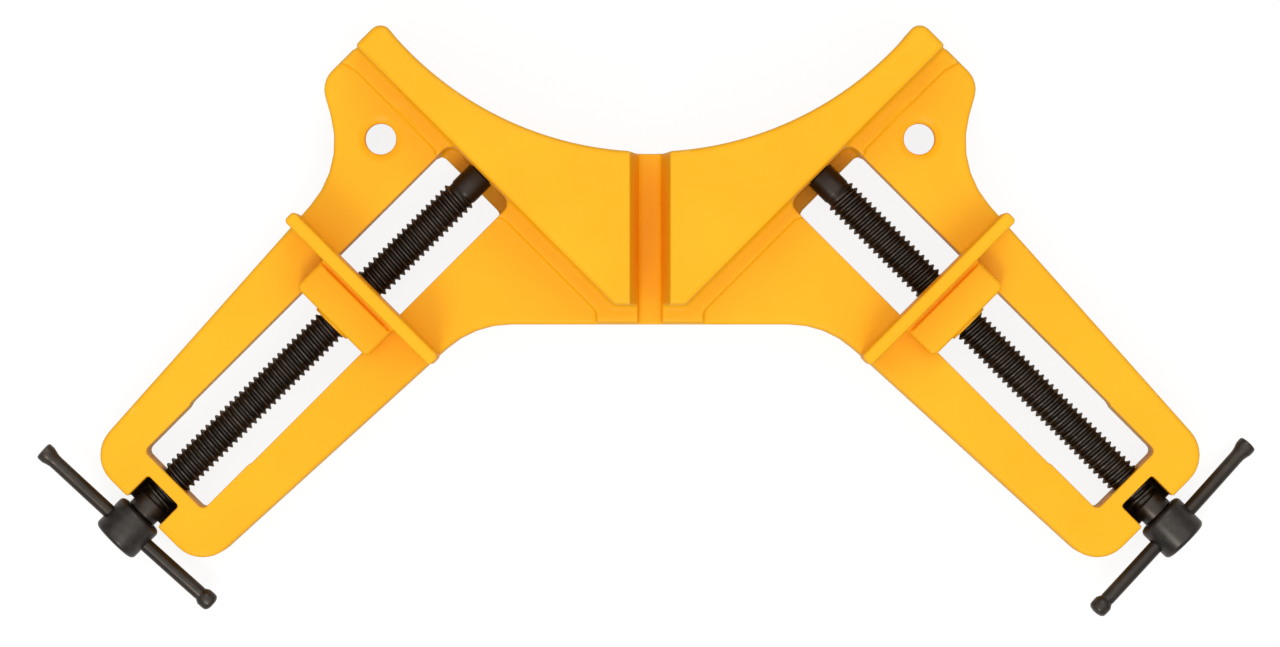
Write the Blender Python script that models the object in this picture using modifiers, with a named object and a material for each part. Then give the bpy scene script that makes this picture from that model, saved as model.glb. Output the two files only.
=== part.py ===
"""Corner clamp: a die-cast 90 degree frame with two screw-driven jaws.

Units are metres and +Z is up. The clamp lies on the bench plane z = 0. The origin is under the
middle of the web that joins the two fences, and the corner that the fences point at is on -Y.
The arm frame is x across the arm, y outward along its screw from the fence face, z up from the
screw's axis. Everything that repeats left and right is built once per arm in that frame.
"""

import math

import bmesh
import bpy
from mathutils import Matrix, Vector

# Heights above the bench
RAIL_TOP_Z = 0.016
FENCE_TOP_Z = 0.036
STRIP_TOP_Z = 0.0178
SCREW_Z = 0.009

# Frame casting: the web between the fences, the corner and the hollow back
WEB_DEPTH = 0.0427
CORNER_AHEAD = 0.004
BACK_ARC_R = 0.084
WALL = 0.0035
FENCE_WALL = 0.0038
SCREW_ALONG_FENCE = 0.0595
FENCE_END = 0.1036
FENCE_FRONT = 0.0088
FENCE_RIM = 0.0012
FENCE_COVE_R = 0.0019
HORN_TIP_R = 0.003
HORN_EDGE_R = 0.0010

# Groove down the middle of the fences, a trapezoid in section
GROOVE_TOP_HALF = 0.0049
GROOVE_FLOOR_HALF = 0.0028
GROOVE_FLOOR_Z = 0.0148

# Foot strip along the fences, a low step above the rails
STRIP_WIDTH = 0.0043
STRIP_FLARE = 0.0012
STRIP_CORNER_R = 0.0026
STRIP_FRONT_HALF = 0.0134
STRIP_FRONT_SETBACK = 0.0005
STRIP_RIM = 0.0006

# Ear that carries the mounting hole
EAR_END = 0.1040
EAR_EDGE_Y = 0.0124
EAR_SHOULDER_R = 0.0065
EAR_WAIST_Y = 0.0238
EAR_WAIST_R = 0.024
HOLE_ALONG_FENCE = 0.0833
HOLE_FROM_FENCE = 0.0120
HOLE_R = 0.0039
HOLE_DISH_R = 0.0058
HOLE_DISH_DEPTH = 0.0008
HOLE_BOSS_R = 0.0076
HOLE_BOSS_Z = 0.0105

# Arm, tapering to its rounded end
ARM_ROOT_Y = 0.043
ARM_ROOT_INNER = 0.0246
ARM_ROOT_OUTER = 0.0241
ARM_END_Y = 0.1201
ARM_END_INNER = 0.0209
ARM_END_OUTER = 0.0196
ARM_CORNER_R = 0.0088
ARM_BEND_R = 0.024
ARM_RIM = 0.0009

# Slot in the arm: milled wide for the jaw, left as cast beyond the step
SLOT_START = 0.0040
SLOT_HALF = 0.0107
SLOT_STEP_Y = 0.0935
SLOT_CAST_HALF = 0.0104
SLOT_END_Y = 0.1090
SLOT_CORNER_R = 0.0015
SLOT_LEDGE_R = 0.0026
SLOT_WALL = 0.0036
SLOT_LEDGE_Z = 0.0030
BRIDGE_THICK = 0.0036
POCKET_HALF = 0.0054
POCKET_FLOOR_Z = 0.0030
REBATE_START = 0.0058
HOLLOW_START = 0.0080
HOLLOW_END = 0.1079
HOLLOW_CORNER_R = 0.0012

# Lead screw: left-hand, so that a clockwise turn closes the jaw
SCREW_R = 0.0044
NOSE_R = 0.0038
NOSE_END = 0.0072
JOURNAL_R = 0.0030
THREAD_PAST_BRIDGE = 0.0010
NECK_R = 0.0042
STUB_R = 0.0036

# Collar and tommy bar
COLLAR_R = 0.0064
COLLAR_LENGTH = 0.0097
COLLAR_STANDOFF = 0.0011
COLLAR_ROUND = 0.0014
BAR_R = 0.0018
BAR_LENGTH = 0.0577
BAR_HOLE_R = 0.0022
BAR_KNOB_R = 0.0024
BAR_KNOB_LENGTH = 0.0036
BAR_SKEW = math.radians(2.2)
BAR_LIFT = math.radians(6.0)

# Retaining parts inside the hollow fence
WASHER_THICK = 0.0010
WASHER_R = 0.0060
RING_THICK = 0.0008
RING_R = 0.0048
RING_SEAT_R = 0.0024
RING_MOUTH = math.radians(70)
JOURNAL_TAIL = 0.0012

# Sliding jaw, drawn at the opening of the photograph
JAW_OPEN = 0.0396
JAW_HALF = 0.0254
JAW_PLATE = 0.0034
JAW_RIM = 0.0007
JAW_END_R = 0.0010
BLOCK_HALF = 0.0124
BLOCK_BACK = 0.0133
BLOCK_TOP_Z = 0.0222
BLOCK_RIM = 0.0009
BLOCK_CORNER_R = 0.0016
COVE_R = 0.0022
TONGUE_FRONT = 0.0005
TONGUE_BOTTOM_Z = 0.0032
NUT_BOSS_R = 0.0054
NUT_BOSS_PROUD = 0.0009

# Keeper plate and its two countersunk screws
KEEPER_HALF = 0.0140
KEEPER_THICK = 0.0020
KEEPER_FRONT = 0.0013
KEEPER_BACK = 0.0123
KEEPER_CORNER_R = 0.0012
KEEPER_SCREW_X = 0.0073
KEEPER_SCREW_R = 0.0013
KEEPER_SCREW_LENGTH = 0.0085
KEEPER_HEAD_R = 0.0025
KEEPER_HEAD_DEPTH = 0.0012

# Clearances
GAP = 0.0003
RUN = 0.00015
PAST = 0.002

# Facets
ROUND_SIDES = 32
BAR_SIDES = 20
ARC_STEP = math.radians(12)
FLAT = math.radians(0.3)
BACK_ARC_STEPS = 26
COVE_STEPS = 6
COLLAR_STEPS = 3

# Worked out from the values above
HALF_SQRT = math.sqrt(0.5)
FRONT_Y = -WEB_DEPTH / 2
BACK_Y = WEB_DEPTH / 2
CORNER_Y = FRONT_Y - CORNER_AHEAD
ARC_CENTRE = Vector((0, BACK_Y + BACK_ARC_R))
POCKET_START = SLOT_END_Y + BRIDGE_THICK
HOLLOW_SIDE = SLOT_HALF + SLOT_WALL
WEB_HALF = GROOVE_TOP_HALF + WALL
COLLAR_START = ARM_END_Y + COLLAR_STANDOFF
COLLAR_MIDDLE = COLLAR_START + COLLAR_LENGTH / 2
THREAD_END = POCKET_START + THREAD_PAST_BRIDGE
RING_FRONT = -FENCE_WALL - 2 * GAP - WASHER_THICK
RING_BACK = RING_FRONT - RING_THICK - 2 * GAP
JOURNAL_END = RING_BACK - JOURNAL_TAIL
ARM_LENGTH = ARM_END_Y - ARM_ROOT_Y
INNER_TAPER = (ARM_END_INNER - ARM_ROOT_INNER) / ARM_LENGTH
OUTER_TAPER = (ARM_END_OUTER - ARM_ROOT_OUTER) / ARM_LENGTH
KEEPER_TOP_Z = TONGUE_BOTTOM_Z - GAP
KEEPER_MIDDLE = (KEEPER_FRONT + KEEPER_BACK) / 2
RAIL_LIP_Z = TONGUE_BOTTOM_Z + RUN


def clear_scene():
    for old in list(bpy.data.objects):
        bpy.data.objects.remove(old, do_unlink=True)


def new_collection(name):
    group = bpy.data.collections.new(name)
    bpy.context.scene.collection.children.link(group)
    return group


def paint(name, colour, metallic, roughness):
    material = bpy.data.materials.new(name)
    material.use_nodes = True
    shader = material.node_tree.nodes["Principled BSDF"]
    shader.inputs["Base Color"].default_value = (*colour, 1)
    shader.inputs["Metallic"].default_value = metallic
    shader.inputs["Roughness"].default_value = roughness
    return material


def add(name, mesh, parent=None, material=None):
    """Link a mesh as a part, or as a cutter where it has no material."""
    item = bpy.data.objects.new(name, mesh)
    if material:
        mesh.materials.clear()
        mesh.materials.append(material)
        PARTS.objects.link(item)
    else:
        item.hide_render = True
        item.display_type = "WIRE"
        CUTTERS.objects.link(item)
    item.parent = parent
    return item


def prism(outline, low, high, turn=Matrix()):
    """Extrude a flat outline from low to high and turn it into its place."""
    curve = bpy.data.curves.new("outline", "CURVE")
    curve.dimensions = "2D"
    curve.fill_mode = "BOTH"
    curve.extrude = (high - low) / 2
    spline = curve.splines.new("POLY")
    spline.points.add(len(outline) - 1)
    for point, (x, y) in zip(spline.points, outline):
        point.co = (x, y, 0, 1)
    spline.use_cyclic_u = True
    flat = bpy.data.objects.new("outline", curve)
    flat.location.z = (low + high) / 2
    CUTTERS.objects.link(flat)
    graph = bpy.context.evaluated_depsgraph_get()
    mesh = bpy.data.meshes.new_from_object(flat.evaluated_get(graph))
    mesh.transform(turn @ flat.matrix_world)
    bpy.data.objects.remove(flat, do_unlink=True)
    shape = bmesh.new()
    shape.from_mesh(mesh)
    bmesh.ops.remove_doubles(shape, verts=shape.verts, dist=1e-6)
    bmesh.ops.dissolve_limit(shape, angle_limit=FLAT, verts=shape.verts, edges=shape.edges)
    if shape.calc_volume(signed=True) < 0:
        bmesh.ops.reverse_faces(shape, faces=shape.faces)
    shape.to_mesh(mesh)
    shape.free()
    return mesh


def loft(sections):
    """Join flat outlines of equal point counts, given with their heights, into one closed mesh."""
    shape = bmesh.new()
    rings = [[shape.verts.new((x, y, z)) for x, y in outline] for outline, z in sections]
    for low, high in zip(rings, rings[1:]):
        for index, vertex in enumerate(low):
            shape.faces.new((low[index - 1], vertex, high[index], high[index - 1]))
    shape.faces.new(rings[0])
    shape.faces.new(rings[-1])
    bmesh.ops.recalc_face_normals(shape, faces=shape.faces)
    mesh = bpy.data.meshes.new("loft")
    shape.to_mesh(mesh)
    shape.free()
    return mesh


def round_rim(mesh, width, axis, level, segments=2):
    """Round the edges of a mesh that lie at one level along an axis."""
    shape = bmesh.new()
    shape.from_mesh(mesh)
    rim = [
        edge for edge in shape.edges
        if all(abs(vertex.co[axis] - level) < 1e-6 for vertex in edge.verts)
    ]
    bmesh.ops.bevel(
        shape, geom=rim, offset=width, segments=segments, profile=0.5,
        affect="EDGES", clamp_overlap=False,
    )
    shape.to_mesh(mesh)
    shape.free()
    return mesh


def rod(radius, low, high, sides=ROUND_SIDES, end_radius=None):
    """A cylinder or cone along y from low to high."""
    shape = bmesh.new()
    bmesh.ops.create_cone(
        shape, cap_ends=True, segments=sides, radius1=radius,
        radius2=radius if end_radius is None else end_radius, depth=high - low,
    )
    stand = Matrix.Translation((0, (low + high) / 2, 0)) @ ALONG_Y
    bmesh.ops.transform(shape, matrix=stand, verts=shape.verts)
    mesh = bpy.data.meshes.new("rod")
    shape.to_mesh(mesh)
    shape.free()
    return mesh


def turned(name, profile, parent, material, sides=ROUND_SIDES):
    """Revolve (radius, y) pairs round the arm's screw axis, or round the bar's own axis."""
    mesh = bpy.data.meshes.new(name)
    shape = bmesh.new()
    closed = profile[0] == profile[-1]
    rail = [shape.verts.new((radius, 0, y)) for radius, y in reversed(profile[closed:])]
    if closed:
        rail.append(rail[0])
    for first, second in zip(rail, rail[1:]):
        shape.edges.new((first, second))
    shape.to_mesh(mesh)
    shape.free()
    item = add(name, mesh, parent, material)
    item.rotation_euler.x = -math.pi / 2
    spin = item.modifiers.new("turn", "SCREW")
    spin.steps = sides
    spin.render_steps = sides
    spin.use_merge_vertices = True
    spin.merge_threshold = 1e-5
    return item


def combine(target, other, operation):
    step = target.modifiers.new(other.name, "BOOLEAN")
    step.operation = operation
    step.object = other
    step.solver = "EXACT"


def cut(target, mesh, parent=None, name="cut"):
    cutter = add(target.name + "_" + name, mesh, parent)
    combine(target, cutter, "DIFFERENCE")
    return cutter


def join(target, mesh, parent=None, name="join"):
    combine(target, add(target.name + "_" + name, mesh, parent), "UNION")


def rounded(points):
    """Replace each corner (x, y, radius) of a closed outline by an arc of that radius."""
    outline = []
    for index, (x, y, radius) in enumerate(points):
        here = Vector((x, y))
        if radius == 0:
            outline.append(here)
            continue
        back = (Vector(points[index - 1][:2]) - here).normalized()
        ahead = (Vector(points[(index + 1) % len(points)][:2]) - here).normalized()
        half = back.angle(ahead) / 2
        centre = here + (back + ahead).normalized() * radius / math.sin(half)
        first = here + back * radius / math.tan(half) - centre
        sweep = first.angle_signed(here + ahead * radius / math.tan(half) - centre)
        steps = max(2, math.ceil(abs(sweep) / ARC_STEP))
        for step in range(steps + 1):
            outline.append(centre + Matrix.Rotation(-sweep * step / steps, 2) @ first)
    return outline


def crossing(start, direction, other, other_direction):
    """The point where two lines of the plane meet."""
    det = direction.x * other_direction.y - direction.y * other_direction.x
    offset = other - start
    return start + direction * (offset.x * other_direction.y - offset.y * other_direction.x) / det


def box_outline(half, low, high, radius=0.0):
    corners = [(-half, low), (half, low), (half, high), (-half, high)]
    return rounded([(x, y, radius) for x, y in corners])


def on_arm(x, y):
    """Plan position in the world of a point in the left arm's frame."""
    along = SCREW_ALONG_FENCE + x
    return Vector((-HALF_SQRT * (along + y), CORNER_Y + HALF_SQRT * (along - y)))


def by_fence(along, out):
    """Plan position of a point by its distance from the corner and from the fence face."""
    return on_arm(along - SCREW_ALONG_FENCE, out)


def inner_half(y, inset):
    """Width of the arm on the corner's side of its screw, moved in by the inset."""
    return ARM_ROOT_INNER + INNER_TAPER * (y - ARM_ROOT_Y) - inset


def outer_half(y, inset):
    """Width of the arm on the ear's side of its screw, moved in by the inset."""
    return ARM_ROOT_OUTER + OUTER_TAPER * (y - ARM_ROOT_Y) - inset


def inner_side(inset):
    """A point and the direction of the arm's tapering inner edge."""
    start = on_arm(-inner_half(ARM_ROOT_Y, inset), ARM_ROOT_Y)
    end = on_arm(-inner_half(ARM_END_Y, inset), ARM_END_Y)
    return start, (end - start).normalized()


def outer_side(inset):
    """A point and the direction of the arm's tapering outer edge."""
    start = on_arm(outer_half(ARM_ROOT_Y, inset), ARM_ROOT_Y)
    end = on_arm(outer_half(ARM_END_Y, inset), ARM_END_Y)
    return start, (end - start).normalized()


def ear_side(inset):
    """A point and the direction of the ear's lower edge, moved in by the inset."""
    start = by_fence(SCREW_ALONG_FENCE + ARM_ROOT_OUTER, EAR_WAIST_Y)
    end = by_fence(EAR_END, EAR_EDGE_Y)
    direction = (end - start).normalized()
    return start + Vector((-direction.y, direction.x)) * -inset, direction


def arc_point(along, inset):
    """Where a line square to the fence, at a distance from the corner, meets the back arc."""
    start = by_fence(along, 0)
    inward = Vector((HALF_SQRT, HALF_SQRT))
    offset = start - ARC_CENTRE
    reach = offset.dot(inward)
    radius = BACK_ARC_R + inset
    return start + inward * (-reach - math.sqrt(reach * reach - offset.length_squared + radius ** 2))


def back_arc(start, stop_x, radius):
    """Points along the hollow back, from a start point towards the middle of the frame."""
    first = math.asin(start.x / radius)
    last = math.asin(stop_x / radius)
    points = []
    for step in range(BACK_ARC_STEPS + 1):
        turn = first + (last - first) * step / BACK_ARC_STEPS
        points.append((
            ARC_CENTRE.x + radius * math.sin(turn), ARC_CENTRE.y - radius * math.cos(turn), 0,
        ))
    return points


def base_outline():
    """Left half of the rails, ear and front plate, closed off inside the fence."""
    bend = crossing(Vector((0, FRONT_Y)), Vector((1, 0)), *inner_side(0))
    waist = crossing(*outer_side(0), *ear_side(0))
    return rounded([
        (PAST, FRONT_Y, 0),
        (*bend, ARM_BEND_R),
        (*on_arm(-ARM_END_INNER, ARM_END_Y), ARM_CORNER_R),
        (*on_arm(ARM_END_OUTER, ARM_END_Y), ARM_CORNER_R),
        (*waist, EAR_WAIST_R),
        (*by_fence(EAR_END, EAR_EDGE_Y), EAR_SHOULDER_R),
        (*by_fence(EAR_END, HORN_EDGE_R), HORN_EDGE_R),
        (*by_fence(FENCE_END - HORN_EDGE_R, -2 * HORN_EDGE_R), 0),
        (*by_fence(SCREW_ALONG_FENCE / 2, -FENCE_WALL / 2), 0),
        (PAST, (FRONT_Y + BACK_Y) / 2, 0),
    ])


def fence_outline(foot):
    """Left half of the tall fence, its face and front moved out by the foot's reach."""
    tip = arc_point(FENCE_END, 0)
    front = Vector((PAST, CORNER_Y + FENCE_FRONT - foot))
    face_start = crossing(front, Vector((1, 0)), by_fence(0, foot), on_arm(1, 0) - on_arm(0, 0))
    arc = back_arc(tip, PAST, BACK_ARC_R)
    return rounded([
        (*front, 0),
        (*face_start, HORN_EDGE_R),
        (*by_fence(FENCE_END, foot), HORN_EDGE_R),
        (*tip, HORN_TIP_R),
        *arc[2:],
    ])


def strip_outline():
    """Left half of the foot strip, flared at the slot and where it reaches the ear's end."""
    tab = SLOT_HALF - GAP
    tab_end = STRIP_WIDTH + 2 * STRIP_CORNER_R
    return rounded([
        (PAST, FRONT_Y + STRIP_FRONT_SETBACK, 0),
        (-STRIP_FRONT_HALF, FRONT_Y + STRIP_FRONT_SETBACK, 0),
        (*crossing(
            Vector((-STRIP_FRONT_HALF, FRONT_Y)), Vector((0, 1)),
            by_fence(0, STRIP_WIDTH), on_arm(1, 0) - on_arm(0, 0),
        ), STRIP_CORNER_R),
        (*on_arm(-tab, STRIP_WIDTH), STRIP_CORNER_R),
        (*on_arm(-tab, tab_end), 0),
        (*on_arm(tab, tab_end), 0),
        (*on_arm(tab, STRIP_WIDTH), STRIP_CORNER_R),
        (*by_fence(EAR_END - STRIP_WIDTH, STRIP_WIDTH), STRIP_WIDTH / 2),
        (*by_fence(EAR_END - GAP, STRIP_WIDTH + STRIP_FLARE), 0),
        (*by_fence(EAR_END - GAP, HORN_EDGE_R), 0),
        (*by_fence(FENCE_END - 2 * HORN_EDGE_R, -2 * HORN_EDGE_R), 0),
        (*by_fence(SCREW_ALONG_FENCE / 2, -FENCE_WALL / 2), 0),
        (PAST, (FRONT_Y + BACK_Y) / 2, 0),
    ])


def fence_hollow_end():
    """How far along the fence its hollow runs: to the end wall, or to where two walls meet."""
    end = FENCE_END - WALL
    start = by_fence(0, -FENCE_WALL - GAP) - ARC_CENTRE
    reach = start.dot(on_arm(1, 0) - on_arm(0, 0))
    room = reach ** 2 - start.length_squared + (BACK_ARC_R + WALL) ** 2
    if room > 0:
        end = min(end, -reach - math.sqrt(room))
    return end


def fence_hollow_outline():
    """The space inside the fence, open underneath, one wall in from every face."""
    along = fence_hollow_end()
    inner_tip = arc_point(along, WALL)
    face = on_arm(1, 0) - on_arm(0, 0)
    first = crossing(Vector((-WEB_HALF, 0)), Vector((0, 1)), by_fence(0, -FENCE_WALL), face)
    arc = back_arc(inner_tip, -WEB_HALF, BACK_ARC_R + WALL)
    return rounded([
        (*first, HORN_EDGE_R),
        (*by_fence(along, -FENCE_WALL), 0),
        *arc,
    ])


def front_hollow_outline():
    """The space under the front plate and the inner rail."""
    inner_front = Vector((0, FRONT_Y + WALL))
    bend = crossing(inner_front, Vector((1, 0)), *inner_side(WALL))
    nose = crossing(
        inner_front, Vector((1, 0)), by_fence(0, HOLLOW_START), on_arm(1, 0) - on_arm(0, 0)
    )
    return rounded([
        (*on_arm(-inner_half(HOLLOW_END, WALL), HOLLOW_END), HOLLOW_CORNER_R),
        (*bend, ARM_BEND_R + WALL),
        (*nose, HOLLOW_CORNER_R),
        (*on_arm(-HOLLOW_SIDE, HOLLOW_START), HOLLOW_CORNER_R),
        (*on_arm(-HOLLOW_SIDE, HOLLOW_END), HOLLOW_CORNER_R),
    ])


def ear_hollow_outline():
    """The space under the outer rail and the ear."""
    waist = crossing(*outer_side(WALL), *ear_side(WALL))
    shoulder = crossing(
        by_fence(EAR_END - WALL, 0), on_arm(0, 1) - on_arm(0, 0), *ear_side(WALL)
    )
    return rounded([
        (*on_arm(HOLLOW_SIDE, HOLLOW_END), HOLLOW_CORNER_R),
        (*on_arm(outer_half(HOLLOW_END, WALL), HOLLOW_END), HOLLOW_CORNER_R),
        (*waist, EAR_WAIST_R + WALL),
        (*shoulder, EAR_SHOULDER_R - WALL),
        (*by_fence(EAR_END - WALL, HOLLOW_START), 0),
        (*on_arm(HOLLOW_SIDE, HOLLOW_START), HOLLOW_CORNER_R),
    ])


def fence_sections():
    """Reach of the fence's foot and its height: straight, then a cove, then the upright face."""
    sections = [(FENCE_COVE_R, 0)]
    for step in range(COVE_STEPS + 1):
        turn = math.pi / 2 * step / COVE_STEPS
        sections.append((
            FENCE_COVE_R * (1 - math.sin(turn)),
            STRIP_TOP_Z - GAP + FENCE_COVE_R * (1 - math.cos(turn)),
        ))
    sections.append((0, FENCE_TOP_Z))
    return sections


def frame_casting(material, arm):
    """The one-piece die casting: fences, foot strip, ears, slotted arms and hollow underside."""
    base = prism(base_outline(), 0, RAIL_TOP_Z)
    frame = add("frame_casting", round_rim(base, ARM_RIM, 2, RAIL_TOP_Z), None, material)
    strip = prism(strip_outline(), WALL, STRIP_TOP_Z)
    join(frame, round_rim(strip, STRIP_RIM, 2, STRIP_TOP_Z), None, "foot_strip")
    fence = loft([(fence_outline(foot), z) for foot, z in fence_sections()])
    join(frame, round_rim(fence, FENCE_RIM, 2, FENCE_TOP_Z), None, "fence")

    roof = RAIL_TOP_Z - WALL
    cut(frame, prism(fence_hollow_outline(), -PAST, FENCE_TOP_Z - WALL), None, "fence_hollow")
    cut(frame, prism(front_hollow_outline(), -PAST, roof), None, "front_hollow")
    ear_hollow = cut(frame, prism(ear_hollow_outline(), -PAST, roof), None, "ear_hollow")
    hole = Vector((*by_fence(HOLE_ALONG_FENCE, HOLE_FROM_FENCE), 0))
    upright = Matrix.Translation(hole) @ ALONG_Y.inverted()
    boss = rod(HOLE_BOSS_R, HOLE_BOSS_Z, RAIL_TOP_Z)
    boss.transform(upright)
    cut(ear_hollow, boss, None, "hole_boss")
    bore = rod(HOLE_R, -PAST, RAIL_TOP_Z + PAST)
    bore.transform(upright)
    cut(frame, bore, None, "mounting_hole")
    dish = rod(HOLE_R, RAIL_TOP_Z - HOLE_DISH_DEPTH, RAIL_TOP_Z + PAST, ROUND_SIDES,
               HOLE_DISH_R + PAST * (HOLE_DISH_R - HOLE_R) / HOLE_DISH_DEPTH)
    dish.transform(upright)
    cut(frame, dish, None, "hole_dish")

    groove = [
        (-GROOVE_FLOOR_HALF, GROOVE_FLOOR_Z), (GROOVE_FLOOR_HALF, GROOVE_FLOOR_Z),
        (GROOVE_TOP_HALF, FENCE_TOP_Z), (GROOVE_TOP_HALF, FENCE_TOP_Z + PAST),
        (-GROOVE_TOP_HALF, FENCE_TOP_Z + PAST), (-GROOVE_TOP_HALF, FENCE_TOP_Z),
    ]
    across = Matrix.Rotation(math.pi / 2, 4, "X")
    reach = WEB_DEPTH / 2 + PAST
    cut(frame, prism(groove, -reach, reach, across), None, "groove")

    top = RAIL_TOP_Z - SCREW_Z + PAST
    bottom = -SCREW_Z - PAST
    milled = box_outline(SLOT_HALF, SLOT_START, SLOT_STEP_Y, SLOT_CORNER_R)
    cut(frame, prism(milled, bottom, top), arm, "milled_slot")
    as_cast = box_outline(SLOT_CAST_HALF, SLOT_STEP_Y - PAST, SLOT_END_Y, SLOT_CORNER_R)
    cut(frame, prism(as_cast, bottom, top), arm, "cast_slot")
    ledge = rounded([
        (-SLOT_HALF, GAP, SLOT_LEDGE_R), (SLOT_HALF, GAP, SLOT_LEDGE_R),
        (SLOT_HALF, SLOT_START + PAST, 0), (-SLOT_HALF, SLOT_START + PAST, 0),
    ])
    ledge_top = STRIP_TOP_Z + FENCE_COVE_R + PAST - SCREW_Z
    cut(frame, prism(ledge, SLOT_LEDGE_Z - SCREW_Z, ledge_top), arm, "slot_ledge")
    rebate = box_outline(HOLLOW_SIDE + GAP, REBATE_START, SLOT_STEP_Y)
    cut(frame, prism(rebate, bottom, RAIL_LIP_Z - SCREW_Z), arm, "keeper_rebate")
    pocket = box_outline(POCKET_HALF, POCKET_START, ARM_END_Y + PAST)
    cut(frame, prism(pocket, POCKET_FLOOR_Z - SCREW_Z, top), arm, "end_pocket")
    bridge_bore = rod(SCREW_R + RUN, SLOT_END_Y - PAST, POCKET_START + PAST)
    cut(frame, bridge_bore, arm, "bridge_bore")
    cut(frame, rod(JOURNAL_R + RUN, -FENCE_WALL - PAST, PAST), arm, "journal_bore")
    chamber = box_outline(WASHER_R + GAP, JOURNAL_END - GAP, -FENCE_WALL - RUN)
    cut(frame, prism(chamber, bottom, WASHER_R + GAP), arm, "washer_chamber")

    mirror = frame.modifiers.new("right half", "MIRROR")
    mirror.use_axis = (True, False, False)
    mirror.use_bisect_axis = (True, False, False)
    mirror.use_bisect_flip_axis = (True, False, False)
    mirror.merge_threshold = 1e-5
    mirror.bisect_threshold = 1e-6


def sliding_jaw(side, arm, material):
    """Jaw casting: tall plate, block on the rails, threaded tongue down in the slot."""
    seat = RAIL_TOP_Z - SCREW_Z + GAP
    crown = FENCE_TOP_Z - SCREW_Z
    block_top = BLOCK_TOP_Z - SCREW_Z
    back = JAW_OPEN + BLOCK_BACK
    plate = prism(box_outline(JAW_HALF, JAW_OPEN, JAW_OPEN + JAW_PLATE, JAW_END_R), seat, crown)
    jaw = add(side + "_sliding_jaw", round_rim(plate, JAW_RIM, 2, crown), arm, material)
    block = box_outline(BLOCK_HALF, JAW_OPEN + JAW_PLATE / 2, back, BLOCK_CORNER_R)
    block_mesh = round_rim(prism(block, seat, block_top), BLOCK_RIM, 2, block_top)
    join(jaw, block_mesh, arm, "block")
    foot = JAW_OPEN + JAW_PLATE
    cove = [(foot - GAP, block_top - GAP), (foot + COVE_R, block_top - GAP)]
    for step in range(COVE_STEPS + 1):
        turn = math.pi / 2 * step / COVE_STEPS
        cove.append((
            foot + COVE_R * (1 - math.sin(turn)), block_top + COVE_R * (1 - math.cos(turn)),
        ))
    cove.append((foot - GAP, block_top + COVE_R))
    width = BLOCK_HALF - BLOCK_CORNER_R
    sideways = Matrix(((0, 0, 1, 0), (1, 0, 0, 0), (0, 1, 0, 0), (0, 0, 0, 1)))
    join(jaw, prism(cove, -width, width, sideways), arm, "cove")
    tongue = box_outline(SLOT_HALF - GAP, JAW_OPEN + TONGUE_FRONT, back - GAP, SLOT_CORNER_R)
    floor = TONGUE_BOTTOM_Z - SCREW_Z
    join(jaw, prism(tongue, floor, seat + GAP), arm, "tongue")
    join(jaw, rod(NUT_BOSS_R, back - PAST, back + NUT_BOSS_PROUD), arm, "nut_boss")
    cut(jaw, rod(SCREW_R + RUN, JAW_OPEN - PAST, back + PAST), arm, "screw_bore")
    for end in (-1, 1):
        pilot = rod(KEEPER_SCREW_R + RUN, -PAST, KEEPER_SCREW_LENGTH + GAP)
        pilot.transform(keeper_screw_place(end))
        cut(jaw, pilot, arm, "pilot_hole")


def keeper_screw_place(end):
    """Stand a rod made along y upright at one keeper screw, its start on the plate's underside."""
    underside = KEEPER_TOP_Z - KEEPER_THICK - SCREW_Z
    spot = Vector((end * KEEPER_SCREW_X, JAW_OPEN + KEEPER_MIDDLE, underside))
    return Matrix.Translation(spot) @ ALONG_Y.inverted()


def keeper_plate(side, arm, material):
    """Flat steel plate under the tongue, lapping the rails' inner lips to hold the jaw down."""
    top = KEEPER_TOP_Z - SCREW_Z
    outline = box_outline(
        KEEPER_HALF, JAW_OPEN + KEEPER_FRONT, JAW_OPEN + KEEPER_BACK, KEEPER_CORNER_R
    )
    keeper = add(side + "_keeper_plate", prism(outline, top - KEEPER_THICK, top), arm, material)
    for end in (-1, 1):
        hole = rod(KEEPER_SCREW_R + RUN, -PAST, KEEPER_THICK + PAST)
        hole.transform(keeper_screw_place(end))
        cut(keeper, hole, arm, "screw_hole")
        sink = rod(
            KEEPER_HEAD_R + RUN, 0, KEEPER_HEAD_DEPTH, ROUND_SIDES, KEEPER_SCREW_R + RUN
        )
        sink.transform(Matrix.Translation((0, 0, -RUN)) @ keeper_screw_place(end))
        cut(keeper, sink, arm, "countersink")


def keeper_screw(side, arm, material, end, place):
    """Countersunk screw that fixes the keeper plate to the tongue."""
    profile = [
        (0, 0), (KEEPER_HEAD_R, 0), (KEEPER_SCREW_R, KEEPER_HEAD_DEPTH),
        (KEEPER_SCREW_R, KEEPER_SCREW_LENGTH - KEEPER_SCREW_R),
        (0, KEEPER_SCREW_LENGTH),
    ]
    item = turned(side + "_keeper_screw_" + place, profile, arm, material, BAR_SIDES)
    item.matrix_local = keeper_screw_place(end) @ ALONG_Y


def lead_screw(side, arm, material):
    """Spindle: journal in the fence, nose, threaded stretch, neck, and stub in the collar."""
    stub_end = COLLAR_START + COLLAR_LENGTH - GAP
    chamfer = SCREW_R - NOSE_R
    profile = [
        (0, JOURNAL_END), (JOURNAL_R - GAP, JOURNAL_END), (JOURNAL_R, JOURNAL_END + GAP),
        (JOURNAL_R, RING_BACK), (RING_SEAT_R, RING_BACK),
        (RING_SEAT_R, RING_FRONT), (JOURNAL_R, RING_FRONT),
        (JOURNAL_R, 2 * GAP), (NOSE_R, 2 * GAP),
        (NOSE_R, NOSE_END), (SCREW_R, NOSE_END + chamfer),
        (SCREW_R, THREAD_END), (NECK_R, THREAD_END + GAP),
        (NECK_R, COLLAR_START - GAP), (STUB_R, COLLAR_START - GAP),
        (STUB_R, stub_end - GAP), (STUB_R - GAP, stub_end), (0, stub_end),
    ]
    screw = turned(side + "_lead_screw", profile, arm, material)
    cut(screw, bar_bore(), arm, "bar_hole")


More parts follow.
